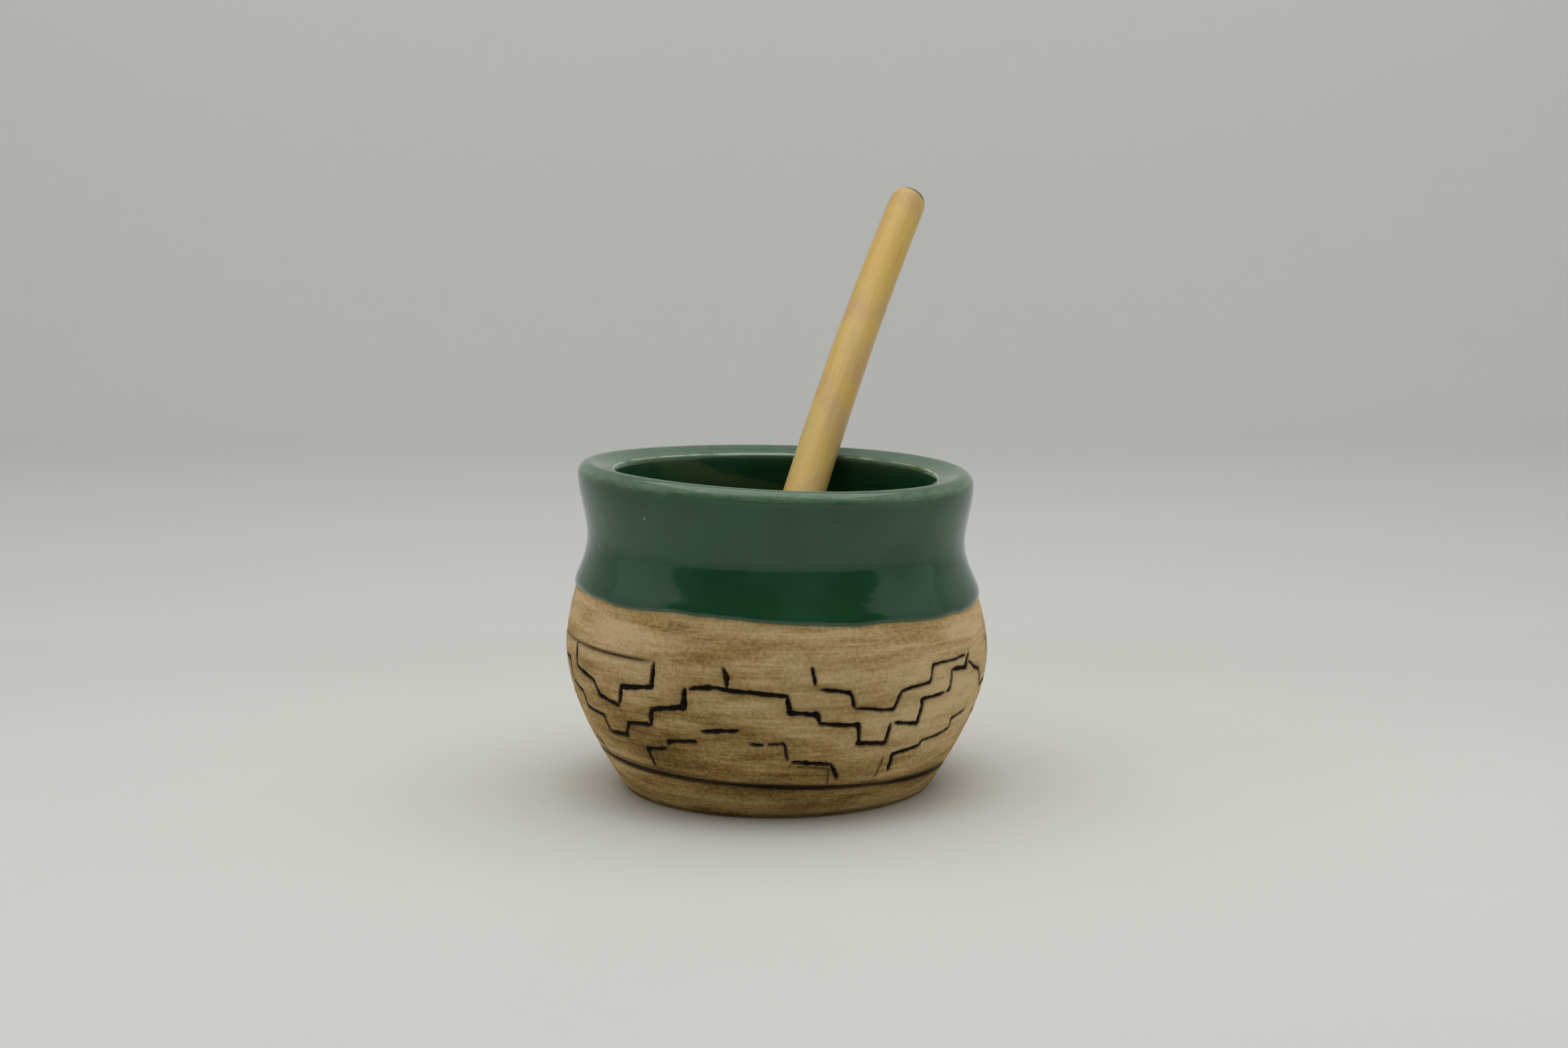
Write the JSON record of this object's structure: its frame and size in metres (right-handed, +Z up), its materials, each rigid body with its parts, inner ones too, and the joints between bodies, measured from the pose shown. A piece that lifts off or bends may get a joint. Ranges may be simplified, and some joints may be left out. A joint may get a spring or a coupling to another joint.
{
  "type": "hand-thrown cup with cane straw",
  "caption": "Wide-bellied hand-thrown clay cup, glazed inside and over the rim, with an incised stepped border and a loose cane straw leaning on the rim.",
  "frame": {"origin": "centre of the cup's flat foot, on the surface it stands on", "axes": "+Z up along the cup's axis; +Y towards the back, where the straw leans on the rim; +X to the right"},
  "size_m": [0.085, 0.1193, 0.1195],
  "materials": {
    "fired_clay": "bare fired clay with a brushed brown wash, matt",
    "green_glaze": "glossy deep green glaze",
    "black_stain": "matt black stain in the incised strokes",
    "cane": "natural golden cane skin, satin"
  },
  "bodies": {
    "cup": {"clay_cup": "fired_clay", "green_glaze": "green_glaze", "stroke_stain": "black_stain"},
    "straw": {"cane_straw": "cane"}
  },
  "joints": [
    {"name": "straw_lift", "type": "slide", "parent": "cup", "child": "straw", "axis": [0, 0, 1], "range_m": [0, 0.08]}
  ]
}
